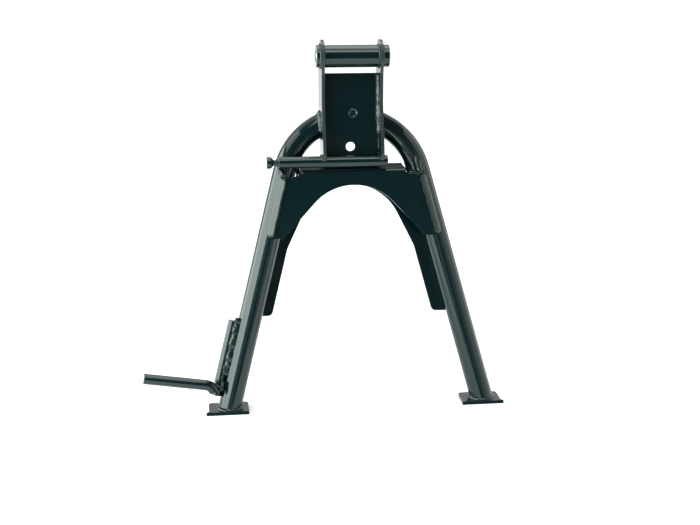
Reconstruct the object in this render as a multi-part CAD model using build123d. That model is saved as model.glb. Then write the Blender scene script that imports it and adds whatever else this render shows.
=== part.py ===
from build123d import *
import os
from math import acos, atan2, cos, hypot, radians, sin, sqrt, tan

os.makedirs("parts", exist_ok=True)

# Frame: origin on the pivot axis, +X to the bike's right, +Y forward, +Z up

# leg tube
tube_diameter = 26.0
tube_wall = 2.2
crown_radius = 79.5
leg_splay = 14.5
lean = 14.0

# pivot
pivot_back = 27.0
pivot_rise = 66.0
pivot_height = 389.5
pivot_tube_diameter = 25.0
pivot_tube_length = 81.4
sleeve_diameter = 14.0
sleeve_running_clearance = 0.06
pivot_bolt_diameter = 10.0
pivot_bolt_clearance = 0.15
sleeve_proud = 0.8

# cheeks and web
cheek_spacing = 62.0
cheek_thickness = 3.5
cheek_lobe_radius = 18.5
cheek_neck_back = 10.0
cheek_neck_drop = 22.0
cheek_brow_ahead = 23.0
cheek_brow_drop = 18.0
cheek_waist = 30.5
cheek_waist_height = 12.0
cheek_foot_back = 15.0
cheek_foot_rise = 7.5
cheek_front = 2.0
bracket_aside = -1.4
seat_clearance = 0.05
web_thickness = 2.5
web_top = 48.5
web_bend_height = -20.0
web_bend_angle = 12.0
upper_hole_diameter = 9.5
upper_hole_across = 1.0
upper_hole_height = 4.0
lower_hole_diameter = 10.5
lower_hole_across = -2.5
lower_hole_height = -33.8

# gussets
gusset_sheet = 2.5
gusset_bend_radius = 4.0
gusset_bend_height = -59.5
gusset_rear_top = -52.5
gusset_top_half_width = 60.0
gusset_shoulder = 62.7
shoulder_height = -65.5
arch_radius = 61.0
front_arch_top = -77.2
front_arch_foot = (81.0, -135.7)
front_foot_width = 13.0
rear_arch_top = -75.5
rear_arch_knee = -147.8
rear_arch_aside = -1.1
rear_knee_radius = 30.0
rear_gusset_width = 26.4
rear_gusset_foot = -224.6
rear_corner_radius = 6.0

# spring bar and post
bar_diameter = 13.0
bar_height = -50.5
bar_left_end = -85.0
bar_right_end = 38.3
post_head_diameter = 13.5
post_head_thickness = 5.0
post_neck_diameter = 7.0
post_collar_diameter = 10.0
post_length = 13.2
post_collar_thickness = 2.5
post_cone_length = 2.6

# pedal, its rises measured up the leg from the top of the foot pad
stem_diameter = 11.0
pedal_bar_diameter = 12.0
stem_rise = 13.57
stem_length = 84.5
stem_back = 2.0
pedal_bend_radius = 12.0
pedal_bend_angle = 65.0
pedal_reach = 81.3
pedal_tip_behind = 7.6
pedal_tip_rise = 37.67
pedal_corner_rise = 24.97
pedal_aside = 1.5

# feet
pad_width = 45.0
pad_depth = 28.0
pad_thickness = 4.0
pad_ear = 3.0
pad_corner_radius = 4.0
pad_shift_in = 0.5
pad_shift_back = 2.2
pads_aside = -2.0

# weld beads
foot_weld_leg = 3.6
foot_weld_sides = 16
web_weld_leg = 3.6
front_bead_foot_width = 5.8
stem_bead_rise = 33.57
stem_bead_length = 62.0
pedal_bead_rise = 15.0
pedal_bead_length = 10.0

# derived
tube_radius = tube_diameter / 2
pivot_bore_radius = sleeve_diameter / 2 + sleeve_running_clearance
sleeve_length = pivot_tube_length + 2 * sleeve_proud
sleeve_bore_radius = pivot_bolt_diameter / 2 + pivot_bolt_clearance
splay = radians(leg_splay)
cheek_inside = cheek_spacing / 2
bar_behind = tube_radius + bar_diameter / 2
pad_top = -pivot_height + pad_thickness
tangent_across = crown_radius * cos(splay)
tangent_height = -crown_radius + crown_radius * sin(splay)
lean_angle = radians(lean)
foot_height = pivot_rise + (pad_top + pivot_back * sin(lean_angle)) / cos(lean_angle)
leg_run = (tangent_height - foot_height) / cos(splay) + tube_diameter
cut_length = 2 * pivot_height

# The stand's own axes: x across, y forward from the legs' plane, z up along it, crown at zero
stand_frame = Location((0, 0, 0), (-lean, 0, 0)) * Location((0, pivot_back, -pivot_rise))


def leg_across(height):
    return tangent_across + (tangent_height - height) * tan(splay)


def save(node, solid):
    export_step(solid, "parts/" + node + ".step")


def straight_rod(start, end, radius):
    return extrude(Plane(origin=start, z_dir=end - start) * Circle(radius), amount=(end - start).length)


# Leg tube: two straight legs joined by the crown's bend
crown_centre = Vector(0, 0, -crown_radius)
crown_arc = 180 - 2 * leg_splay


def leg_bar(radius):
    solid = None
    for side in (-1, 1):
        seam = Plane(
            origin=(side * tangent_across, 0, tangent_height),
            z_dir=(side * sin(splay), 0, -cos(splay)),
        )
        straight = extrude(seam * Circle(radius), amount=leg_run)
        solid = straight if solid is None else solid + straight
    seam = Plane(origin=(-tangent_across, 0, tangent_height), z_dir=(sin(splay), 0, cos(splay)))
    crown = revolve(seam * Circle(radius), Axis(crown_centre, (0, 1, 0)), crown_arc)
    return solid + crown


leg_solid = leg_bar(tube_radius)
leg_hollow = leg_solid - leg_bar(tube_radius - tube_wall)
ground_block = Pos(0, 0, pad_top - cut_length / 2) * Box(2 * cut_length, 2 * cut_length, cut_length)
leg_tube = stand_frame * leg_hollow - ground_block
leg_outer = stand_frame * leg_solid
save("leg_tube", leg_tube)

# Pivot tube and the sleeve running in it
sleeve_blank = Cylinder(sleeve_diameter / 2, sleeve_length)
sleeve_blank = chamfer(sleeve_blank.edges(), 0.6)
sleeve = Rot(0, 90, 0) * (sleeve_blank - Cylinder(sleeve_bore_radius, sleeve_length + 2))
save("pivot_sleeve", sleeve)

tube_blank = Cylinder(pivot_tube_diameter / 2, pivot_tube_length)
pivot_tube = Rot(0, 90, 0) * (tube_blank - Cylinder(pivot_bore_radius, pivot_tube_length + 2))
save("pivot_tube", pivot_tube)

# Spring bar, with the turned post on its left end
bar_length = bar_right_end - bar_left_end
bar_blank = chamfer(Cylinder(bar_diameter / 2, bar_length).edges(), 0.6)
bar_middle = (bar_left_end + bar_right_end) / 2
spring_bar_local = Pos(bar_middle, -bar_behind, bar_height) * Rot(0, 90, 0) * bar_blank
spring_bar = stand_frame * spring_bar_local
save("spring_bar", spring_bar)

head_radius = post_head_diameter / 2
neck_radius = post_neck_diameter / 2
collar_radius = post_collar_diameter / 2
post_outline = Polyline(
    (0, 0),
    (collar_radius, 0),
    (collar_radius, post_collar_thickness),
    (neck_radius, post_collar_thickness),
    (neck_radius, post_length - post_head_thickness - post_cone_length),
    (head_radius, post_length - post_head_thickness),
    (head_radius, post_length),
    (0, post_length),
    close=True,
)
post_turned = revolve(Plane.XZ * make_face(post_outline), Axis.Z)
post_local = Pos(bar_left_end, -bar_behind, bar_height) * Rot(0, -90, 0) * post_turned
save("spring_post", stand_frame * post_local)

# Front gusset: arched sheet on the back of the legs, its top flange bent forward
def arch_tangent(point, top, aside):
    """Where the line from an outer point meets the arch's arc."""
    across = point[0] - aside
    below = point[1] - (top - arch_radius)
    angle = atan2(below, across) + acos(arch_radius / hypot(across, below))
    return aside + arch_radius * cos(angle), top - arch_radius + arch_radius * sin(angle)


def arched_sheet(outer_points, inner_points, top_height, arch_top, aside=0.0):
    """Outline over both legs, with an arc between two straight edges underneath."""
    right_outer = [(0.0, top_height)] + outer_points
    left_outer = [(-x, z) for x, z in right_outer]
    right_inner = [(aside + x, z) for x, z in inner_points]
    right_inner.append(arch_tangent(right_inner[-1], arch_top, aside))
    left_inner = [(2 * aside - x, z) for x, z in right_inner]
    return make_face(Wire([
        *Polyline(*right_outer, *right_inner).edges(),
        *ThreePointArc(right_inner[-1], (aside, arch_top), left_inner[-1]).edges(),
        *Polyline(*left_inner[::-1], *left_outer[::-1]).edges(),
    ]))


front_near = -(tube_radius + gusset_sheet)
front_far = -tube_radius
front_outer_points = [
    (gusset_shoulder, gusset_bend_height - gusset_bend_radius),
    (gusset_shoulder, shoulder_height),
    (gusset_shoulder + 3.8, shoulder_height - 2.0),
    (leg_across(shoulder_height - 3.0) - 1.5, shoulder_height - 3.0),
    (front_arch_foot[0] + front_foot_width, front_arch_foot[1] + 2.0),
    (front_arch_foot[0] + front_foot_width - 1.5, front_arch_foot[1]),
]
front_face = arched_sheet(
    front_outer_points,
    [front_arch_foot],
    gusset_bend_height - gusset_bend_radius,
    front_arch_top,
)
front_sheet = extrude(Plane.XZ.offset(-front_near) * front_face, amount=front_near - front_far)
flange_rise = gusset_rear_top - gusset_bend_height - 1.2
flange_slope = flange_rise / (tube_diameter + gusset_sheet)
flange_outline = Polyline(
    (front_near, gusset_bend_height - gusset_bend_radius),
    (front_near, gusset_bend_height),
    (tube_radius, gusset_bend_height + flange_rise),
    (tube_radius, gusset_bend_height + flange_rise - gusset_sheet),
    (front_far, gusset_bend_height + flange_slope * gusset_sheet - gusset_sheet),
    (front_far, gusset_bend_height - gusset_bend_radius),
    close=True,
)
flange_bent = extrude(Plane.YZ * make_face(flange_outline), amount=gusset_top_half_width, both=True)
bend_edge = flange_bent.edges().filter_by(Axis.X).sort_by(
    lambda e: (e.center().Y - front_near) ** 2 + (e.center().Z - gusset_bend_height) ** 2
)[0]
flange_bent = fillet(bend_edge, gusset_bend_radius - 0.2)
front_gusset_local = front_sheet + flange_bent
save("front_gusset", stand_frame * front_gusset_local)

# Rear gusset: longer arched sheet on the front of the legs, its inner edges parallel to them
def rear_inside(height):
    return leg_across(height) - rear_gusset_width


rear_outer_points = [
    (gusset_top_half_width, gusset_rear_top),
    (gusset_shoulder, -60.0),
    (gusset_shoulder, shoulder_height),
    (gusset_shoulder + 3.8, shoulder_height - 2.0),
    (leg_across(shoulder_height - 3.0) - 1.0, shoulder_height - 3.0),
    (leg_across(rear_gusset_foot + 1.6) - 1.5, rear_gusset_foot + 1.6),
    (leg_across(rear_gusset_foot + 1.6) - 3.0, rear_gusset_foot),
]
rear_inner_points = [
    (rear_inside(rear_gusset_foot), rear_gusset_foot),
    (rear_inside(rear_arch_knee), rear_arch_knee),
]
rear_face = arched_sheet(
    rear_outer_points,
    rear_inner_points,
    gusset_rear_top,
    rear_arch_top,
    rear_arch_aside,
)
rear_knees = [v for v in rear_face.vertices() if abs(v.Y - rear_arch_knee) < 0.01]
rear_face = fillet(rear_knees, rear_knee_radius)
rear_corners = rear_face.vertices().filter_by(lambda v: abs(v.Y - rear_gusset_foot) < 0.01)
rear_corners = rear_corners.sort_by(lambda v: abs(v.X - rear_arch_aside))[:2]
rear_face = fillet(rear_corners, rear_corner_radius)
rear_gusset_local = extrude(Plane.XZ.offset(-tube_radius - gusset_sheet) * rear_face, amount=gusset_sheet)
save("rear_gusset", stand_frame * rear_gusset_local)

# Cheeks: lobed round the pivot tube, seated on the crown and straddling the spring bar
cheek_outline = Polyline(
    (-pivot_back - cheek_lobe_radius, pivot_rise),
    (-pivot_back - cheek_neck_back, pivot_rise - cheek_neck_drop),
    (-cheek_waist, cheek_waist_height),
    (-bar_behind - cheek_foot_back, web_bend_height),
    (-bar_behind - cheek_foot_back, bar_height + cheek_foot_rise),
    (-bar_behind - cheek_foot_back + 5.0, bar_height + 0.5),
    (-bar_behind - 3.5, bar_height - 3.0),
    (-bar_behind + 10.5, bar_height - 6.5),
    (cheek_front, bar_height - 3.5),
    (cheek_front, -10.0),
    (cheek_front + 2.0, cheek_waist_height),
    (-pivot_back + cheek_brow_ahead, pivot_rise - cheek_brow_drop),
    (-pivot_back + cheek_lobe_radius, pivot_rise),
    close=True,
)
cheek_profile = make_face(cheek_outline) + Pos(-pivot_back, pivot_rise) * Circle(cheek_lobe_radius)
pivot_cut = Pos(0, -pivot_back, pivot_rise) * Rot(0, 90, 0) * Cylinder(pivot_tube_diameter / 2, cut_length)
bar_cut = Pos(0, -bar_behind, bar_height) * Rot(0, 90, 0) * Cylinder(bar_diameter / 2, cut_length)


def crown_seat(side):
    middle = bracket_aside + side * (cheek_inside + cheek_thickness / 2)
    rise = sqrt(crown_radius ** 2 - middle ** 2)
    along = Plane(origin=(middle, 0, rise - crown_radius), z_dir=(rise, 0, -middle))
    return along * Cylinder(tube_radius + seat_clearance, cut_length)


def cheek(side):
    inner_face = Plane.YZ.offset(bracket_aside + side * cheek_inside)
    plate = extrude(inner_face * cheek_profile, amount=side * cheek_thickness)
    return plate - pivot_cut - bar_cut - crown_seat(side) - front_gusset_local


cheek_right = cheek(1)
cheek_left = cheek(-1)
for node, plate in (("cheek_left", cheek_left), ("cheek_right", cheek_right)):
    save(node, stand_frame * plate)

# Web plate between the cheeks, its lower part bent forward
web_near = -(tube_radius + web_thickness)
web_bend = radians(web_bend_angle)
web_lower_run = (web_bend_height - gusset_bend_height) / cos(web_bend)
bend_shift = web_lower_run * sin(web_bend)
web_foot = web_near + bend_shift
web_outline = Polyline(
    (web_near, web_top),
    (-tube_radius, web_top),
    (-tube_radius, web_bend_height + web_thickness * tan(web_bend / 2)),
    (web_foot + web_thickness * cos(web_bend), gusset_bend_height + web_thickness * sin(web_bend)),
    (web_foot, gusset_bend_height),
    (web_near, web_bend_height),
    close=True,
)
web_middle = Plane.YZ.offset(bracket_aside)
web_plate_local = extrude(web_middle * make_face(web_outline), amount=cheek_inside, both=True)
upper_hole_middle = Pos(upper_hole_across, 0, upper_hole_height) * Rot(90, 0, 0)
upper_hole = upper_hole_middle * Cylinder(upper_hole_diameter / 2, cut_length)
lower_hole_near = web_near + (web_bend_height - lower_hole_height) * tan(web_bend)
lower_hole_middle = Pos(lower_hole_across, lower_hole_near, lower_hole_height)
lower_hole_turn = Rot(90 + web_bend_angle, 0, 0)
lower_hole = lower_hole_middle * lower_hole_turn * Cylinder(lower_hole_diameter / 2, cut_length)
web_plate_local = web_plate_local - upper_hole - lower_hole - leg_solid - bar_cut - front_gusset_local
save("web_plate", stand_frame * web_plate_local)


# Foot pads, flat on the ground
foot_across = leg_across(foot_height)
foot_forward = pivot_back * cos(lean_angle) + (foot_height - pivot_rise) * sin(lean_angle)
pad_outline = Polyline(
    (-pad_width / 2, -pad_depth / 2),
    (pad_width / 2 + pad_ear, -pad_depth / 2),
    (pad_width / 2, -pad_depth / 2 + pad_ear),
    (pad_width / 2, pad_depth / 2),
    (-pad_width / 2, pad_depth / 2),
    close=True,
)
pad_face = make_face(pad_outline)
pad_face = fillet(pad_face.vertices().sort_by(Axis.Y)[-2:], pad_corner_radius)
pad_blank = extrude(pad_face, amount=pad_thickness)


def pad_place(side):
    pad_across = side * (foot_across - pad_shift_in) + pads_aside
    return Pos(pad_across, foot_forward - pad_shift_back, -pivot_height)


def foot_pad(side):
    return pad_place(side) * (pad_blank if side > 0 else mirror(pad_blank, Plane.YZ))


def foot_weld(side):
    depth = tube_radius
    skirt = loft([
        Pos(0, 0, -depth) * RegularPolygon(tube_radius + foot_weld_leg + depth + 0.4, foot_weld_sides),
        Pos(0, 0, foot_weld_leg) * RegularPolygon(tube_radius + 0.4, foot_weld_sides),
    ])
    bead = stand_frame * Pos(side * foot_across, 0, foot_height) * Rot(0, -side * leg_splay, 0) * skirt
    room_height = pad_thickness + 2 * foot_weld_leg
    room = pad_place(side) * Pos(0, 0, pad_thickness + room_height / 2)
    return (bead & room * Box(pad_width - 1.6, pad_depth - 1.6, room_height)) - leg_outer


for side, name in ((-1, "left"), (1, "right")):
    save("foot_pad_" + name, foot_pad(side))
    save("weld_foot_" + name, foot_weld(side))

# Pedal: a straight stem welded along the left leg and a bent bar across its lower end
stem_radius = stem_diameter / 2
pedal_radius = pedal_bar_diameter / 2
stem_distance = tube_radius + stem_radius
stem_aside = sqrt(stem_distance ** 2 - stem_back ** 2)
stem_out = stem_aside / cos(splay)
stem_bottom = foot_height + stem_rise
stem_top = stem_bottom + stem_length


def stem_point(height, back):
    return Vector(-(leg_across(height) + stem_out), -back, height)


stem_local = straight_rod(stem_point(stem_bottom, stem_back), stem_point(stem_top, stem_back), stem_radius)
stem_local = chamfer(stem_local.edges().filter_by(GeomType.CIRCLE), 0.5)
save("pedal_stem", stand_frame * stem_local)

pedal_back = stem_back + sqrt((stem_radius + pedal_radius) ** 2 - pedal_aside ** 2)
pedal_shift = Vector(-cos(splay), 0, sin(splay)) * pedal_aside
pedal_corner = stem_point(foot_height + pedal_corner_rise, pedal_back) + pedal_shift
pedal_tip = pedal_corner + Vector(-pedal_reach, -pedal_tip_behind, pedal_tip_rise - pedal_corner_rise)
pedal_out = (pedal_corner - pedal_tip).normalized()
pedal_down = Vector(-sin(splay), 0, -cos(splay))
bend_reach = pedal_bend_radius * tan(radians(pedal_out.get_angle(pedal_down) / 2))
bend_start = pedal_corner - pedal_out * bend_reach
bend_normal = pedal_out.cross(pedal_down).normalized()
bend_centre = bend_start + bend_normal.cross(pedal_out) * pedal_bend_radius
pedal_long = straight_rod(pedal_tip, bend_start, pedal_radius)
pedal_long = chamfer(pedal_long.edges().filter_by(GeomType.CIRCLE).sort_by(Axis.X)[:1], 0.6)
bend_axis = Axis(bend_centre, bend_normal)
bend_section = Plane(origin=bend_start, z_dir=pedal_out) * Circle(pedal_radius)
pedal_bend = loft([
    bend_section.rotate(bend_axis, pedal_bend_angle * share)
    for share in (0, 0.25, 0.5, 0.75, 1)
])
pedal_local = pedal_long + pedal_bend
save("pedal_bar", stand_frame * pedal_local)


# Beads lying in the groove between the leg, the stem and the pedal bar
def across_leg(height):
    return Plane(
        origin=(-leg_across(height), 0, height),
        x_dir=(-cos(splay), 0, sin(splay)),
        z_dir=(sin(splay), 0, cos(splay)),
    )


leg_toe = radians(39.8)
stem_bead_face = make_face(Polyline(
    (tube_radius - 0.3, 1.2),
    (tube_radius * cos(leg_toe), tube_radius * sin(leg_toe)),
    (tube_radius * cos(leg_toe) + 1.8, tube_radius * sin(leg_toe) + 0.1),
    (stem_aside - 4.9, stem_back + stem_radius - 0.3),
    (stem_aside - 3.1, stem_back + stem_radius - 0.1),
    (stem_aside - 1.7, stem_back + stem_radius - 0.3),
    close=True,
))
stem_bead = extrude(across_leg(foot_height + stem_bead_rise) * stem_bead_face, amount=stem_bead_length)
stem_bead = stem_bead - leg_solid - stem_local
save("weld_stem", stand_frame * stem_bead)

bead_near = stem_back + stem_radius
pedal_bead_inner = make_face(Polyline(
    (stem_aside - 0.4, bead_near),
    (stem_aside - 4.6, bead_near - 3.6),
    (stem_aside - 5.0, bead_near),
    (stem_aside - 4.6, bead_near + 3.6),
    close=True,
))
pedal_bead_plane = across_leg(foot_height + pedal_bead_rise + stem_out * sin(splay) * cos(splay))
pedal_bead = extrude(pedal_bead_plane * pedal_bead_inner, amount=pedal_bead_length)
pedal_bead = pedal_bead - stem_local - pedal_local - leg_solid
save("weld_pedal", stand_frame * pedal_bead)


# Fillet beads up the corners between the web and the cheeks
def web_weld(side):
    leg = web_weld_leg
    strip = Polyline(
        (web_near, web_top - 1.5),
        (web_near, web_bend_height),
        (web_foot, gusset_bend_height),
        (web_foot - leg, gusset_bend_height),
        (web_near - leg, web_bend_height),
        (web_near - leg, web_top - 1.5),
        close=True,
    )
    corner = Plane.YZ.offset(bracket_aside + side * (cheek_inside - leg))
    bar = extrude(corner * make_face(strip), amount=side * leg)
    inner = [e for e in bar.edges() if abs(e.center().X - corner.origin.X) < 0.01]
    outer = [e for e in inner if abs(e.center().Y - (web_near - leg)) < 0.01]
    sloped = [e for e in inner if abs(e.center().Y - (web_near - leg + bend_shift / 2)) < 0.01]
    bead = chamfer(outer + sloped, leg - 0.3)
    return bead - bar_cut - front_gusset_local - leg_solid


# Beads along the gussets' outer edges
def gusset_weld(side, top, foot, near, far):
    def section(row):
        height, inside, outside = row
        corners = Polyline(
            (side * inside, near, height),
            (side * inside, far, height),
            (side * outside, far, height),
            (side * outside, far + (near - far) * 0.12, height),
            close=True,
        )
        return make_face(corners)

    return loft([section(top), section(foot)], ruled=True) - leg_solid


bead_top = shoulder_height - 3.0
rear_bead_foot = rear_gusset_foot + 1.6
front_bead_foot = front_arch_foot[1] + 2.0
front_top = (bead_top, leg_across(bead_top) - 1.5, leg_across(bead_top) + 2.2)
front_edge = front_arch_foot[0] + front_foot_width
front_foot = (front_bead_foot, front_edge, front_edge + front_bead_foot_width)
rear_top = (bead_top, leg_across(bead_top) - 1.0, leg_across(bead_top) + 3.0)
rear_foot = (rear_bead_foot, leg_across(rear_bead_foot) - 1.5, leg_across(rear_bead_foot) + 3.0)

# Beads over the gussets' shoulders; the left one also holds the spring bar to the leg
# Each outline is given outward and upward from the leg's middle at the shoulder
left_shoulder = [(3.5, 10.5), (-2.5, 12.0), (-5.0, 7.5), (-4.0, -3.0), (2.5, -3.0), (4.0, 3.5)]
right_shoulder = [(-13.0, 20.5), (-8.0, 20.5), (-4.0, 12.5), (-1.5, -3.0), (-8.5, -3.0), (-10.0, 7.5)]


def shoulder_weld(side, points, near):
    outline = Polyline(
        *[(side * (leg_across(shoulder_height) + out), shoulder_height + up) for out, up in points],
        close=True,
    )
    bead = extrude(Plane.XZ.offset(near) * make_face(outline), amount=-(near - tube_radius / 2))
    bead = chamfer(bead.faces().sort_by(Axis.Y)[0].edges(), 1.4)
    return bead - leg_solid - front_gusset_local - spring_bar_local


save("weld_shoulder_left", stand_frame * shoulder_weld(-1, left_shoulder, tube_radius + 4.5))
save("weld_shoulder_right", stand_frame * shoulder_weld(1, right_shoulder, tube_radius + 2.4))

for side, name in ((-1, "left"), (1, "right")):
    save("weld_web_" + name, stand_frame * web_weld(side))
    front_bead = gusset_weld(side, front_top, front_foot, front_near, -(tube_radius - 2.5))
    save("weld_front_" + name, stand_frame * front_bead)
    rear_bead = gusset_weld(side, rear_top, rear_foot, tube_radius + gusset_sheet, tube_radius - 2.5)
    save("weld_rear_" + name, stand_frame * rear_bead)
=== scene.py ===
import math
import random

import bmesh
import bpy
from mathutils import Matrix, Vector, noise


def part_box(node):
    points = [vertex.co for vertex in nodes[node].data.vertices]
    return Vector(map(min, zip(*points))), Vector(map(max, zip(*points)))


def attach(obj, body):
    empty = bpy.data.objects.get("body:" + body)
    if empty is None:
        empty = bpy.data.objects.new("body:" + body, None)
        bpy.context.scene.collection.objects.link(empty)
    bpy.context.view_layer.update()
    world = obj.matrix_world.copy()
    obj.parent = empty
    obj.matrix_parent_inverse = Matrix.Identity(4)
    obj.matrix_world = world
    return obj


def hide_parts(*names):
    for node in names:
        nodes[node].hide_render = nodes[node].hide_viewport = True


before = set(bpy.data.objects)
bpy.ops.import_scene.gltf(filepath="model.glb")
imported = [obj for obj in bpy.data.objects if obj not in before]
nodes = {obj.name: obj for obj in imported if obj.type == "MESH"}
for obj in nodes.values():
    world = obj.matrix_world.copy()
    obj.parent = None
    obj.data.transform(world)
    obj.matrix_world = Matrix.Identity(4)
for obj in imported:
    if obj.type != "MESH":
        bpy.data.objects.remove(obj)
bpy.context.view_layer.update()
print("frame loaded,", len(nodes), "nodes")

# Pieces and patterns are given in millimetres, the camera, the floor and the lamps in metres
mmPerMetre = 1000


def srgbToLinear(code):
    # A hex colour as linear red, green, blue and alpha
    channels = [int(code[i:i + 2], 16) / 255 for i in (1, 3, 5)]
    linear = [c / 12.92 if c <= 0.04045 else ((c + 0.055) / 1.055) ** 2.4 for c in channels]
    return (*linear, 1.0)


def addNode(tree, kind, values=None, links=None, **settings):
    # One node with its settings, its sockets' values and what feeds them
    node = tree.nodes.new(kind)
    for key, value in settings.items():
        setattr(node, key, value)
    for key, value in (values or {}).items():
        node.inputs[key].default_value = value
    for key, socket in (links or {}).items():
        tree.links.new(socket, node.inputs[key])
    return node


# Camera, where the photograph was taken from
cameraValues = {
    "place": (-0.1939, -1.4422, 0.19796),
    "azimuth": -7.64,
    "elevation": 16.75,
    "roll": 0.52,
    "lens": 66.98,
    "sensorWidth": 36.0,
    "clipStart": 0.01,
}


def makeCamera(values):
    data = bpy.data.cameras.new("photo_camera")
    data.lens = values["lens"]
    data.sensor_width = values["sensorWidth"]
    data.clip_start = values["clipStart"]
    camera = bpy.data.objects.new("photo_camera", data)
    bpy.context.scene.collection.objects.link(camera)
    azimuth = math.radians(values["azimuth"])
    elevation = math.radians(values["elevation"])
    turn = Matrix.Rotation(azimuth, 4, "Z") @ Matrix.Rotation(math.pi / 2 - elevation, 4, "X")
    roll = Matrix.Rotation(math.radians(values["roll"]), 4, "Z")
    camera.matrix_world = Matrix.Translation(values["place"]) @ turn @ roll
    bpy.context.scene.camera = camera


makeCamera(cameraValues)
print("camera placed")


def startMaterial(name):
    # An empty material, its node tree and the coordinates of the surface
    material = bpy.data.materials.new(name)
    material.use_nodes = True
    tree = material.node_tree
    tree.nodes.clear()
    return material, tree, addNode(tree, "ShaderNodeTexCoord").outputs


def addPattern(tree, place, size, detail):
    # Noise in patches of about this size
    values = {"Scale": mmPerMetre / size, "Detail": detail}
    return addNode(tree, "ShaderNodeTexNoise", values, {"Vector": place}).outputs["Fac"]


def mixColours(tree, share, first, second):
    # Two hex colours mixed by a share; the node's colour sockets can only be told apart by number
    colours = {6: srgbToLinear(first), 7: srgbToLinear(second)}
    return addNode(tree, "ShaderNodeMix", colours, {"Factor": share}, data_type="RGBA").outputs[2]


def addRelief(tree, pattern, depth, values):
    # A pattern as fine relief over edges that catch the light as if rounded
    radius = {"Radius": values["edgeRadius"] / mmPerMetre}
    edge = addNode(tree, "ShaderNodeBevel", radius, samples=values["edgeSamples"])
    return addNode(tree, "ShaderNodeBump", {"Strength": 1.0, "Distance": depth / mmPerMetre}, {
        "Height": pattern,
        "Normal": edge.outputs["Normal"],
    }).outputs["Normal"]


# Gloss black stove enamel over mild steel: deep, a little green, with soft orange peel, and less glossy in
# patches where dust settled. Where matt is above 0, faces that look towards mattFacing are duller
paintValues = {
    "colour": "#02181b",
    "thinColour": "#041c1f",
    "patchSize": 60.0,
    "patchDetail": 3.0,
    "roughness": 0.09,
    "dustyRoughness": 0.2,
    "dustFrom": 0.45,
    "dustTo": 0.75,
    "ior": 1.54,
    "gleam": "#f0fff6",
    "shine": 0.5,
    "peelSize": 6.0,
    "peelDetail": 2.0,
    "peelDepth": 0.004,
    "edgeRadius": 0.5,
    "edgeSamples": 6,
    "matt": 0.0,
    "mattRoughness": 0.6,
    "mattShine": 0.1,
    "mattFacing": (0.0, 0.242, 0.97),
    "mattFrom": 0.8,
    "mattTo": 0.95,
}
# Painted shade: the top of the front gusset's flange is made duller and far less shiny, so it shows a darker
# reflection than the rest of the paint
flangePaintValues = {**paintValues, "matt": 1.0}
# Painted shade: the feet's rear edges are made duller and far less shiny in the same way, so they show a
# darker reflection
footPaintValues = {**paintValues, "matt": 1.0, "mattFacing": (0.0, -1.0, 0.0)}
# The cheeks' cut rear edges only take some of the gloss off
cheekPaintValues = {
    **paintValues,
    "matt": 1.0,
    "mattRoughness": 0.5,
    "mattShine": 0.6,
    "mattFacing": (0.0, -0.97, 0.242),
}
# Over weld beads it pools between the ripples and leaves pinholes
weldPaintValues = {
    **paintValues,
    "patchSize": 5.0,
    "peelSize": 0.9,
    "peelDepth": 0.09,
    "edgeRadius": 0.3,
}


def makePaint(name, values):
    material, tree, surface = startMaterial(name)
    patches = addPattern(tree, surface["Object"], values["patchSize"], values["patchDetail"])
    peel = addPattern(tree, surface["Object"], values["peelSize"], values["peelDetail"])
    dust = addNode(tree, "ShaderNodeMapRange", {
        "From Min": values["dustFrom"],
        "From Max": values["dustTo"],
        "To Min": values["roughness"],
        "To Max": values["dustyRoughness"],
    }, {"Value": patches}).outputs["Result"]
    facing = addNode(tree, "ShaderNodeVectorMath", {1: values["mattFacing"]}, {
        0: surface["Normal"],
    }, operation="DOT_PRODUCT").outputs["Value"]
    matt = addNode(tree, "ShaderNodeMapRange", {
        "From Min": values["mattFrom"],
        "From Max": values["mattTo"],
        "To Max": values["matt"],
    }, {"Value": facing}).outputs["Result"]
    roughness = addNode(tree, "ShaderNodeMapRange", {"To Max": values["mattRoughness"]}, {
        "Value": matt,
        "To Min": dust,
    }).outputs["Result"]
    shine = addNode(tree, "ShaderNodeMapRange", {
        "To Min": values["shine"],
        "To Max": values["mattShine"],
    }, {"Value": matt}).outputs["Result"]
    shader = addNode(tree, "ShaderNodeBsdfPrincipled", {
        "IOR": values["ior"],
        "Specular Tint": srgbToLinear(values["gleam"]),
    }, {
        "Base Color": mixColours(tree, patches, values["colour"], values["thinColour"]),
        "Roughness": roughness,
        "Specular IOR Level": shine,
        "Normal": addRelief(tree, peel, values["peelDepth"], values),
    })
    addNode(tree, "ShaderNodeOutputMaterial", links={"Surface": shader.outputs["BSDF"]})
    return material


# Bright zinc plate on turned steel: cool grey, with the lathe's fine rings round it, made of noise that is
# drawn out ringStretch times across the sleeve's axis
zincValues = {
    "colour": "#a3a8aa",
    "dullColour": "#848a8c",
    "patchSize": 6.0,
    "patchDetail": 2.0,
    "roughness": 0.34,
    "ringSpacing": 0.5,
    "ringDetail": 1.0,
    "ringStretch": 50.0,
    "ringDepth": 0.006,
    "edgeRadius": 0.3,
    "edgeSamples": 6,
}


def makeZinc(name, values):
    material, tree, surface = startMaterial(name)
    patches = addPattern(tree, surface["Object"], values["patchSize"], values["patchDetail"])
    drawn = 1 / values["ringStretch"]
    place = addNode(tree, "ShaderNodeMapping", {"Scale": (1.0, drawn, drawn)}, {
        "Vector": surface["Object"],
    }).outputs["Vector"]
    rings = addPattern(tree, place, values["ringSpacing"], values["ringDetail"])
    shader = addNode(tree, "ShaderNodeBsdfPrincipled", {
        "Metallic": 1.0,
        "Roughness": values["roughness"],
    }, {
        "Base Color": mixColours(tree, patches, values["colour"], values["dullColour"]),
        "Normal": addRelief(tree, rings, values["ringDepth"], values),
    })
    addNode(tree, "ShaderNodeOutputMaterial", links={"Surface": shader.outputs["BSDF"]})
    return material


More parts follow.
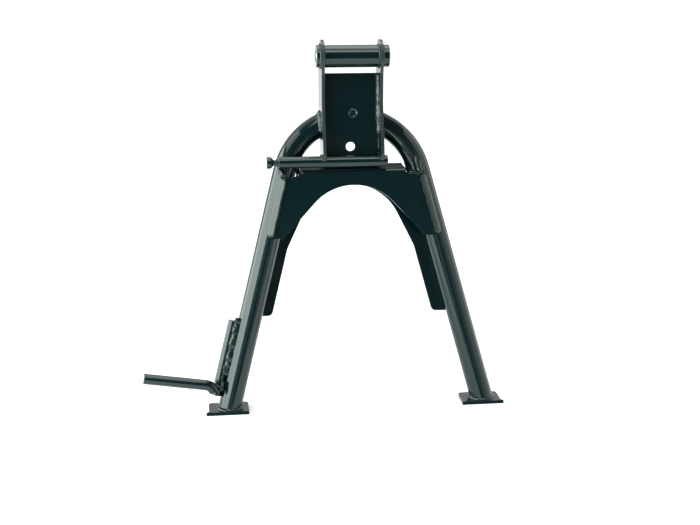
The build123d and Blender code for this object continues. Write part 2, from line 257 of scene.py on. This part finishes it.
enamel = makePaint("gloss_black_enamel", paintValues)
# Painted shade on the flange's top: a duller, less shiny copy of the enamel
flangeEnamel = makePaint("gloss_black_enamel_painted_shade_on_flange", flangePaintValues)
weldEnamel = makePaint("enamel_over_weld", weldPaintValues)
zinc = makeZinc("bright_zinc_plate", zincValues)
cheekEnamel = makePaint("gloss_black_enamel_on_cut_edges", cheekPaintValues)
# Painted shade on the feet's rear edges: a duller, less shiny copy of the enamel
footEnamel = makePaint("gloss_black_enamel_painted_shade_on_feet_edges", footPaintValues)
finishes = {
    "pivot_sleeve": zinc,
    "front_gusset": flangeEnamel,
    "cheek_left": cheekEnamel,
    "cheek_right": cheekEnamel,
    "foot_pad_left": footEnamel,
    "foot_pad_right": footEnamel,
}
for name, node in nodes.items():
    node.data.materials.clear()
    node.data.materials.append(finishes.get(name, weldEnamel if name.startswith("weld_") else enamel))
print("CAD nodes painted")


# The stand's own axes: across, forward from the legs' plane and up along it; they meet in the middle of the
# crown's tube at its top
standValues = {
    "lean": 14.0,
    "pivotBack": 27.0,
    "pivotRise": 66.0,
    "tubeRadius": 13.0,
    "crownRadius": 79.5,
    "splay": 14.5,
    "bracketMiddle": -1.4,
    "cheekInside": 31.0,
    "cheekThickness": 3.5,
    "webBendHeight": -20.0,
    "webBendAngle": 12.0,
}
standToWorld = (
    Matrix.Rotation(math.radians(-standValues["lean"]), 4, "X")
    @ Matrix.Scale(1 / mmPerMetre, 4)
    @ Matrix.Translation((0, standValues["pivotBack"], -standValues["pivotRise"]))
)
worldToStand = standToWorld.inverted()
splay = math.radians(standValues["splay"])
tubeRadius = standValues["tubeRadius"]
crownRadius = standValues["crownRadius"]


def legAcross(height):
    # Distance of a leg's middle from the stand's middle
    straightTop = crownRadius * (math.sin(splay) - 1)
    return crownRadius * math.cos(splay) + (straightTop - height) * math.tan(splay)


def besideLeg(side, height, out, behind):
    # A place by a leg, out from its middle and behind it
    across = legAcross(height) + out * math.cos(splay)
    return Vector((side * across, -behind, height + out * math.sin(splay)))


def cheekFaces(side):
    # Where a cheek's inner and outer faces are, across the stand
    inside = standValues["bracketMiddle"] + side * standValues["cheekInside"]
    return inside, inside + side * standValues["cheekThickness"]


def finishPiece(name, build, material, replaced=None):
    # The mesh in its place in the world, riding on the stand
    bmesh.ops.recalc_face_normals(build, faces=build.faces)
    bmesh.ops.transform(build, matrix=standToWorld, verts=build.verts)
    for face in build.faces:
        face.smooth = True
    mesh = bpy.data.meshes.new(name)
    build.to_mesh(mesh)
    build.free()
    mesh.materials.append(material)
    piece = bpy.data.objects.new(name, mesh)
    bpy.context.scene.collection.objects.link(piece)
    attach(piece, "stand")
    if replaced:
        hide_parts(replaced)


# How a weld bead is laid: overlapping coins made of rings. A coin thins towards its tail by ripple, coins
# differ in size by uneven, wander sideways, and leave their crowns behind by lag times their height; noise
# adds lumps. An open end's section thins down to tipArea. Coarse steps measure the route, and its direction
# is taken over tangentReach on either side
beadValues = {
    "coinPitch": 1.9,
    "ringsPerCoin": 4,
    "segments": 12,
    "ripple": 0.2,
    "uneven": 0.12,
    "wander": 0.25,
    "lag": 0.5,
    "tipArea": 0.06,
    "lumpSize": 3.0,
    "lumpDepth": 0.15,
    "noiseSpan": 100.0,
    "noiseStep": 31.7,
    "lengthSteps": 40,
    "tangentReach": 0.004,
}
# A bead laid by an unsteady hand: longer coins, lumps and a wandering edge
raggedValues = {
    **beadValues,
    "coinPitch": 4.0,
    "ringsPerCoin": 8,
    "segments": 16,
    "ripple": 0.05,
    "uneven": 0.25,
    "wander": 0.5,
    "lag": 0.3,
    "lumpSize": 4.0,
    "lumpDepth": 0.7,
}


def ringMatrix(place, crown, tangent, width, height, lag):
    # A unit circle's place as one ring of a bead
    across = crown.cross(tangent).normalized()
    rise = across.cross(tangent).normalized()
    rise = rise if rise.dot(crown) > 0 else -rise
    turned = Matrix((across * width, rise * height - tangent * lag * height, tangent)).transposed()
    return Matrix.Translation(place) @ turned.to_4x4()


def placeRings(route, width, height, dice, values, closed, girth):
    # The matrices of a bead's rings, from one end of its route to the other
    steps = values["lengthSteps"]
    coarse = [route(step / steps)[0] for step in range(steps + 1)]
    length = sum((b - a).length for a, b in zip(coarse, coarse[1:]))
    coins = max(2, round(length / values["coinPitch"]))
    rings = coins * values["ringsPerCoin"]
    swells = [dice.uniform(-1, 1) for coin in range(coins + 1)]
    asides = [dice.uniform(-1, 1) for coin in range(coins + 1)]
    matrices = []
    for ring in range(rings if closed else rings + 1):
        share = ring / rings
        coin, phase = divmod(ring, values["ringsPerCoin"])
        blend = phase / values["ringsPerCoin"]
        following = (coin + 1) % coins if closed else min(coin + 1, coins)
        uneven = swells[coin] * (1 - blend) + swells[following] * blend
        aside = asides[coin] * (1 - blend) + asides[following] * blend
        size = 1 - values["ripple"] * blend + values["uneven"] * uneven
        if girth:
            size *= girth(share)
        low = share - values["tangentReach"]
        high = share + values["tangentReach"]
        if not closed:
            low = max(low, 0)
            high = min(high, 1)
            fromEnd = min(share, 1 - share) * length / max(width, height)
            size *= math.sqrt(max(values["tipArea"], 1 - max(1 - fromEnd, 0) ** 2))
        place, crown = route(share)
        tangent = (route(high)[0] - route(low)[0]).normalized()
        place = place + crown.cross(tangent).normalized() * values["wander"] * aside
        matrices.append(ringMatrix(place, crown, tangent, width * size, height * size, values["lag"]))
    return matrices


def layBead(build, route, width, height, dice, values=beadValues, closed=False, girth=None):
    # A bead along a route, which gives its middle and the way its crown faces at each share of its length
    others = set(build.verts)
    matrices = placeRings(route, width, height, dice, values, closed, girth)
    ring = bmesh.ops.create_circle(build, segments=values["segments"], radius=1.0)["verts"]
    bmesh.ops.transform(build, matrix=matrices[0], verts=ring)
    firstEdges = [edge for edge in build.edges if edge.verts[0] in ring and edge.verts[1] in ring]
    edges = firstEdges
    for before, after in zip(matrices, matrices[1:]):
        grown = bmesh.ops.extrude_edge_only(build, edges=edges)["geom"]
        ring = {part for part in grown if isinstance(part, bmesh.types.BMVert)}
        grownEdges = [part for part in grown if isinstance(part, bmesh.types.BMEdge)]
        edges = [edge for edge in grownEdges if ring.issuperset(edge.verts)]
        bmesh.ops.transform(build, matrix=after @ before.inverted(), verts=list(ring))
    if closed:
        bmesh.ops.bridge_loops(build, edges=firstEdges + edges)
    else:
        bmesh.ops.contextual_create(build, geom=firstEdges)
        bmesh.ops.contextual_create(build, geom=edges)
    shift = Vector([dice.uniform(0, values["noiseSpan"]) for axis in range(3)])
    steps = [Vector((0, 0, values["noiseStep"] * axis)) for axis in range(3)]
    for vertex in build.verts:
        if vertex not in others:
            place = vertex.co / values["lumpSize"] + shift
            vertex.co += Vector([noise.noise(place + step) for step in steps]) * values["lumpDepth"]


def straightRoute(start, end, crown):
    # A bead between two places
    start, end, crown = Vector(start), Vector(end), Vector(crown)
    return lambda share: (start.lerp(end, share), crown)


def ringRoute(face, middle, radius, facing, start=0.0, end=360.0, stretch=1.0):
    # A bead round a tube where it passes through a face across the stand; angles from the rear, upwards
    def route(share):
        turn = math.radians(start + (end - start) * share)
        forward = middle[0] - radius * math.cos(turn)
        up = middle[1] + radius * stretch * math.sin(turn)
        return Vector((face, forward, up)), Vector((facing, -math.cos(turn), math.sin(turn)))

    return route


# Beads that hold the pivot tube in the cheeks, all the way round on both faces
pivotBeadValues = {"tubeRadius": 12.5, "outside": 1.9, "inside": 1.3, "seed": 11}


def makePivotBeads(values):
    dice = random.Random(values["seed"])
    build = bmesh.new()
    middle = (-standValues["pivotBack"], standValues["pivotRise"])
    for side in (-1, 1):
        inside, outside = cheekFaces(side)
        for face, facing, size in ((outside, side, values["outside"]), (inside, -side, values["inside"])):
            route = ringRoute(face, middle, values["tubeRadius"], facing)
            layBead(build, route, size, size, dice, closed=True)
    finishPiece("pivot_tube_beads", build, weldEnamel)


# Beads round the crown on the cheeks' outer faces, which cut it aslant and so higher than it is deep
crownBeadValues = {"width": 4.2, "height": 2.6, "start": -36.0, "end": 96.0, "seed": 23}


def makeCrownBeads(values):
    dice = random.Random(values["seed"])
    build = bmesh.new()
    for side in (-1, 1):
        face = cheekFaces(side)[1]
        rise = math.sqrt(crownRadius ** 2 - face ** 2)
        route = ringRoute(face, (0.0, rise - crownRadius), tubeRadius, side, values["start"], values["end"],
                          crownRadius / rise)
        layBead(build, route, values["width"], values["height"], dice)
    finishPiece("crown_beads", build, enamel)


# Beads where the cheeks' feet cross the spring bar
barBeadValues = {
    "behind": 19.5,
    "height": -50.5,
    "radius": 6.5,
    "size": 1.9,
    "start": 8.0,
    "end": 150.0,
    "seed": 41,
}


def makeBarBeads(values):
    dice = random.Random(values["seed"])
    build = bmesh.new()
    middle = (-values["behind"], values["height"])
    for side in (-1, 1):
        for face, facing in zip(cheekFaces(side), (-side, side)):
            route = ringRoute(face, middle, values["radius"], facing, values["start"], values["end"])
            layBead(build, route, values["size"], values["size"], dice)
    finishPiece("spring_bar_beads", build, weldEnamel)


# The ragged bead between the left leg and the pedal stem, in two passes; each gives its distance out from
# the leg's middle and behind it, its width and its height
stemBeadValues = {
    "top": -227.0,
    "foot": -292.0,
    "passes": ((12.4, 6.7, 4.4, 1.7), (15.4, 6.2, 2.7, 1.5)),
    "facing": (0.0, -1.0, 0.0),
    "lay": {**raggedValues, "wander": 0.7, "lumpSize": 3.4, "lumpDepth": 0.35},
    "seed": 53,
}


def makeStemBead(values):
    dice = random.Random(values["seed"])
    build = bmesh.new()
    for out, behind, width, height in values["passes"]:
        start = besideLeg(-1, values["top"], out, behind)
        end = besideLeg(-1, values["foot"], out, behind)
        layBead(build, straightRoute(start, end, values["facing"]), width, height, dice, values["lay"])
    finishPiece("stem_bead", build, weldEnamel, "weld_stem")


# The bead that holds the pedal bar to its stem, and a lump left under the bar's end. Each gives its start and
# end, as height and distance out from the leg's middle and behind it, then its width and height
pedalBeadValues = {
    "runs": (
        ((-309.0, 14.2, 9.6), (-298.0, 14.6, 9.4), 2.2, 2.2),
        ((-306.0, 18.2, 11.0), (-303.5, 20.5, 12.5), 3.0, 3.4),
    ),
    "facing": (0.0, -1.0, 0.0),
    "lay": {**raggedValues, "lumpDepth": 0.35},
    "seed": 83,
}


def makePedalBead(values):
    dice = random.Random(values["seed"])
    build = bmesh.new()
    for start, end, width, height in values["runs"]:
        route = straightRoute(besideLeg(-1, *start), besideLeg(-1, *end), values["facing"])
        layBead(build, route, width, height, dice, values["lay"])
    finishPiece("pedal_bead", build, weldEnamel, "weld_pedal")


# The plug weld that fills the web's upper hole: a shallow dish inside a low rim, each point of its outline
# given from its middle and behind the legs' plane
plugValues = {
    "across": 1.0,
    "height": 4.0,
    "outline": ((0.0, 15.0), (3.0, 15.1), (3.9, 15.5), (4.6, 16.3), (5.2, 16.3), (5.8, 15.4)),
    "steps": 48,
    "joinDistance": 0.001,
}


def makePlugWeld(values):
    build = bmesh.new()
    middle = Vector((values["across"], 0, values["height"]))
    points = [build.verts.new(middle + Vector((radius, -behind, 0))) for radius, behind in values["outline"]]
    edges = [build.edges.new(pair) for pair in zip(points, points[1:])]
    bmesh.ops.spin(build, geom=points + edges, cent=middle, axis=(0, 1, 0), dvec=(0, 0, 0), angle=2 * math.pi,
                   steps=values["steps"], use_merge=True, use_duplicate=False)
    bmesh.ops.remove_doubles(build, verts=build.verts, dist=values["joinDistance"])
    finishPiece("plug_weld", build, enamel)


# Beads up the corners between the web and the cheeks; the right one is ragged and ends in a thin run. A pass
# gives its top and foot, its distance in from the cheek and behind the legs' plane, its width, its height and
# its turn. Each swells by the fat share round fatHeight
webBeadValues = {
    "left": {
        "passes": ((47.0, -43.0, 0.0, 15.5, 2.0, 1.8, 45.0), (46.0, -42.0, 0.4, 17.3, 1.7, 0.8, 28.0)),
        "fat": 0.2,
        "lay": beadValues,
        "seed": 31,
    },
    "right": {
        "passes": (
            (47.0, -22.0, 0.2, 16.8, 2.2, 2.2, 45.0),
            (47.0, -20.0, 0.5, 19.0, 2.3, 0.9, 30.0),
            (-20.0, -43.0, 0.0, 15.3, 1.1, 1.0, 45.0),
        ),
        "fat": 0.35,
        "lay": {**raggedValues, "coinPitch": 5.0, "uneven": 0.35, "lumpSize": 5.0, "lumpDepth": 0.6},
        "seed": 37,
    },
    "fatHeight": 4.0,
    "fatReach": 13.0,
}


def makeWebBead(side, name, values):
    own = values[name]
    bend = math.radians(standValues["webBendAngle"])
    corner = cheekFaces(side)[0]
    dice = random.Random(own["seed"])
    build = bmesh.new()
    for top, foot, inward, behind, width, height, turn in own["passes"]:
        angle = math.radians(turn)
        facing = Vector((-side * math.sin(angle), -math.cos(angle), 0))

        def heightAt(share):
            return top + (foot - top) * share

        def girth(share):
            away = (heightAt(share) - values["fatHeight"]) / values["fatReach"]
            return 1 + own["fat"] * math.exp(-away ** 2)

        def route(share):
            below = max(0.0, standValues["webBendHeight"] - heightAt(share))
            place = Vector((corner - side * inward, below * math.tan(bend) - behind, heightAt(share)))
            return place, facing

        layBead(build, route, width, height, dice, own["lay"], girth=girth)
    finishPiece("web_bead_" + name, build, weldEnamel, "weld_web_" + name)


# Wide flat fillets from the front gusset's upright edges out to the legs, placed out from the leg's middle
# and behind it
frontBeadValues = {
    "top": -66.5,
    "foot": -134.0,
    "out": 0.4,
    "behind": 14.8,
    "width": 5.2,
    "height": 1.3,
    "turn": 36.0,
    "lay": {**raggedValues, "coinPitch": 6.0, "ripple": 0.0, "uneven": 0.06, "lag": 0.0, "lumpDepth": 0.06},
    "seed": 101,
}


def makeFrontBead(side, name, values):
    dice = random.Random(values["seed"] + side)
    turn = math.radians(values["turn"])
    facing = Vector((side * math.sin(turn), -math.cos(turn), 0))
    start = besideLeg(side, values["top"], values["out"], values["behind"])
    end = besideLeg(side, values["foot"], values["out"], values["behind"])
    build = bmesh.new()
    route = straightRoute(start, end, facing)
    layBead(build, route, values["width"], values["height"], dice, values["lay"])
    finishPiece("front_gusset_bead_" + name, build, enamel, "weld_front_" + name)


# Beads round the legs' feet. Their middles stay this far inside the pads' edges, less so in front and behind,
# where the pads have little room
footBeadValues = {
    "width": 2.5,
    "height": 2.1,
    "sideInset": 3.06,
    "nearInset": 1.89,
    "lay": {**raggedValues, "uneven": 0.12, "wander": 0.0, "lumpSize": 3.0, "lumpDepth": 0.3},
    "seed": 61,
}


def makeFootBead(side, name, values):
    dice = random.Random(values["seed"] + side)
    build = bmesh.new()
    padLow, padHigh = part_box("foot_pad_" + name)
    downward = Vector((side * math.sin(splay), 0, -math.cos(splay)))
    outward = Vector((math.cos(splay), 0, side * math.sin(splay)))
    top = Vector((side * legAcross(0), 0, 0))
    upward = (worldToStand.to_3x3() @ Vector((0, 0, 1))).normalized()

    def route(share):
        turn = 2 * math.pi * share
        radial = outward * math.cos(turn) - Vector((0, 1, 0)) * math.sin(turn)
        start = standToWorld @ (top + radial * tubeRadius)
        step = standToWorld.to_3x3() @ downward
        place = start + step * ((padHigh.z - start.z) / step.z)
        inset = values["sideInset"] + (values["nearInset"] - values["sideInset"]) * abs(math.sin(turn))
        inset /= mmPerMetre
        place.x = min(max(place.x, padLow.x + inset), padHigh.x - inset)
        place.y = min(max(place.y, padLow.y + inset), padHigh.y - inset)
        return worldToStand @ place, radial + upward

    layBead(build, route, values["width"], values["height"], dice, values["lay"], closed=True)
    finishPiece("foot_bead_" + name, build, weldEnamel, "weld_foot_" + name)


# Short heavy runs over the gussets' shoulders; each gives its start, its end, its width and its height
shoulderValues = {
    "left": {
        "runs": (
            ((-83.0, -9.5, -56.0), (-77.5, -13.0, -68.0), 3.6, 3.4),
            ((-58.6, -14.0, -58.5), (-57.2, -15.6, -64.0), 1.1, 1.3),
        ),
        "facing": (0.2, -1.0, -0.2),
        "seed": 73,
    },
    "right": {
        "runs": (
            ((60.0, -5.0, -51.0), (63.2, -6.0, -64.0), 0.9, 0.9),
            ((56.7, -11.4, -32.4), (65.0, -11.6, -47.2), 0.9, 0.9),
            ((65.6, -12.0, -46.5), (70.0, -14.0, -62.5), 1.8, 1.4),
            ((71.2, -13.3, -45.5), (75.2, -14.6, -63.5), 2.2, 1.6),
            ((76.8, -12.8, -49.0), (78.8, -13.8, -63.0), 1.8, 1.4),
            ((63.5, -12.5, -64.5), (79.5, -12.9, -64.5), 2.2, 2.4),
        ),
        "facing": (-0.5, -0.85, -0.08),
        "seed": 77,
    },
    "lay": {**raggedValues, "uneven": 0.15, "lumpDepth": 0.3, "wander": 0.2},
}


def makeShoulderBeads(name, values):
    own = values[name]
    dice = random.Random(own["seed"])
    build = bmesh.new()
    for start, end, width, height in own["runs"]:
        layBead(build, straightRoute(start, end, own["facing"]), width, height, dice, values["lay"])
    finishPiece("shoulder_beads_" + name, build, weldEnamel, "weld_shoulder_" + name)


makePivotBeads(pivotBeadValues)
makeCrownBeads(crownBeadValues)
makeBarBeads(barBeadValues)
makeStemBead(stemBeadValues)
makePedalBead(pedalBeadValues)
makePlugWeld(plugValues)
for side, name in ((-1, "left"), (1, "right")):
    makeWebBead(side, name, webBeadValues)
    makeFrontBead(side, name, frontBeadValues)
    makeFootBead(side, name, footBeadValues)
    makeShoulderBeads(name, shoulderValues)
print("weld beads laid")


def seenRays(tree, share=None):
    # 1 for the camera's rays and for those that metal, paint or glass send on, these times a share if given
    path = addNode(tree, "ShaderNodeLightPath").outputs
    sentOn = addNode(tree, "ShaderNodeMath", links={
        0: path["Is Glossy Ray"],
        1: path["Is Transmission Ray"],
    }, operation="MAXIMUM").outputs[0]
    if share:
        sentOn = addNode(tree, "ShaderNodeMath", links={0: sentOn, 1: share}, operation="MULTIPLY").outputs[0]
    return addNode(tree, "ShaderNodeMath", links={
        0: path["Is Camera Ray"],
        1: sentOn,
    }, operation="MAXIMUM").outputs[0]


# Floor: plain white paper that ends between the stand and the camera and runs far behind the stand. A glow
# that only the camera and reflections see keeps it white; it is weak under the stand, where the lamps are
# bright and the shadow shows
floorValues = {
    "height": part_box("foot_pad_left")[0].z,
    "left": -20.0,
    "right": 20.0,
    "near": -1.25,
    "far": 20.0,
    "colour": "#f6f8f7",
    "glowNear": 0.35,
    "glowFar": 1.0,
    "nearRadius": 0.25,
    "farRadius": 1.1,
}


def makeFloor(values):
    mesh = bpy.data.meshes.new("floor")
    build = bmesh.new()
    corners = (
        (values["left"], values["near"], 0),
        (values["right"], values["near"], 0),
        (values["right"], values["far"], 0),
        (values["left"], values["far"], 0),
    )
    build.faces.new([build.verts.new(corner) for corner in corners])
    build.to_mesh(mesh)
    build.free()
    floor = bpy.data.objects.new("floor", mesh)
    bpy.context.scene.collection.objects.link(floor)
    floor.location.z = values["height"]
    material, tree, surface = startMaterial("white_paper")
    distance = addNode(tree, "ShaderNodeVectorMath", links={0: surface["Object"]}, operation="LENGTH")
    glow = addNode(tree, "ShaderNodeMapRange", {
        "From Min": values["nearRadius"],
        "From Max": values["farRadius"],
        "To Min": values["glowNear"],
        "To Max": values["glowFar"],
    }, {"Value": distance.outputs["Value"]}, interpolation_type="SMOOTHSTEP")
    strength = addNode(tree, "ShaderNodeMath", links={
        0: seenRays(tree),
        1: glow.outputs["Result"],
    }, operation="MULTIPLY")
    colour = {"Color": srgbToLinear(values["colour"])}
    glowing = addNode(tree, "ShaderNodeEmission", colour, {"Strength": strength.outputs[0]})
    paper = addNode(tree, "ShaderNodeBsdfDiffuse", colour)
    both = addNode(tree, "ShaderNodeAddShader", links={0: glowing.outputs[0], 1: paper.outputs[0]})
    addNode(tree, "ShaderNodeOutputMaterial", links={"Surface": both.outputs[0]})
    mesh.materials.append(material)


# Softboxes and walls: where each stands, where it faces, its size and how bright its face is
lampValues = [
    {
        "name": "front_left_softbox",
        "place": (-1.22, -1.04, 0.28),
        "aim": (0.0, 0.0, 0.05),
        "size": (1.05, 0.9),
        "radiance": 6.7,
    },
    {
        "name": "left_softbox",
        "place": (-1.4, 0.06, 0.2),
        "aim": (0.0, 0.0, 0.0),
        "size": (1.3, 1.0),
        "radiance": 6.0,
    },
    {
        "name": "high_left_softbox",
        "place": (-1.2, -0.2, 1.1),
        "aim": (0.0, 0.0, -0.1),
        "size": (1.7, 0.5),
        "radiance": 2.2,
    },
    {
        "name": "top_softbox",
        "place": (-0.08, 0.42, 1.3),
        "aim": (-0.08, 0.42, 0.0),
        "size": (0.9, 1.1),
        "radiance": 3.0,
    },
    {
        "name": "near_top_softbox",
        "place": (-0.05, -0.75, 1.3),
        "aim": (-0.05, -0.75, 0.0),
        "size": (0.9, 0.84),
        "radiance": 3.5,
    },
    {
        "name": "right_wall",
        "place": (1.5, -0.3, 0.4),
        "aim": (0.0, -0.1, 0.2),
        "size": (2.2, 1.6),
        "radiance": 1.15,
    },
    {
        "name": "right_fill",
        "place": (0.88, -1.46, 0.1),
        "aim": (0.0, 0.0, 0.0),
        "size": (0.83, 0.9),
        "radiance": 0.45,
    },
    {
        "name": "left_fill",
        "place": (-0.5, -1.83, 0.1),
        "aim": (0.0, 0.0, 0.0),
        "size": (0.8, 0.9),
        "radiance": 0.45,
    },
]


def makeLamp(values):
    data = bpy.data.lights.new(values["name"], "AREA")
    data.shape = "RECTANGLE"
    data.size, data.size_y = values["size"]
    # An area lamp's power is its face's radiance times pi and the face's area
    data.energy = values["radiance"] * math.pi * data.size * data.size_y
    lamp = bpy.data.objects.new(values["name"], data)
    bpy.context.scene.collection.objects.link(lamp)
    place = Vector(values["place"])
    aim = Vector(values["aim"]) - place
    lamp.matrix_world = Matrix.Translation(place) @ aim.to_track_quat("-Z", "Y").to_matrix().to_4x4()
    lamp.visible_camera = False


# The room: plain and dim all round for the light. The camera sees it white, and so do reflections that look
# away from the camera, while those that look back at it fade to dim
worldValues = {"colour": "#ffffff", "dim": 0.1, "dimTo": -0.1, "whiteFrom": 0.3, "white": 1.0}


def makeWorld(values):
    world = bpy.data.worlds.new("white_backdrop_dim_room")
    bpy.context.scene.world = world
    world.use_nodes = True
    tree = world.node_tree
    background = tree.nodes["Background"]
    looking = addNode(tree, "ShaderNodeSeparateXYZ", links={
        "Vector": addNode(tree, "ShaderNodeTexCoord").outputs["Generated"],
    })
    forward = addNode(tree, "ShaderNodeMapRange", {
        "From Min": values["dimTo"],
        "From Max": values["whiteFrom"],
    }, {"Value": looking.outputs["Y"]}, interpolation_type="SMOOTHSTEP")
    strength = addNode(tree, "ShaderNodeMapRange", {
        "To Min": values["dim"],
        "To Max": values["white"],
    }, {"Value": seenRays(tree, forward.outputs["Result"])})
    background.inputs["Color"].default_value = srgbToLinear(values["colour"])
    tree.links.new(strength.outputs["Result"], background.inputs["Strength"])


makeFloor(floorValues)
for values in lampValues:
    makeLamp(values)
makeWorld(worldValues)
bpy.context.scene.view_settings.view_transform = "Standard"
print("floor and lights placed")
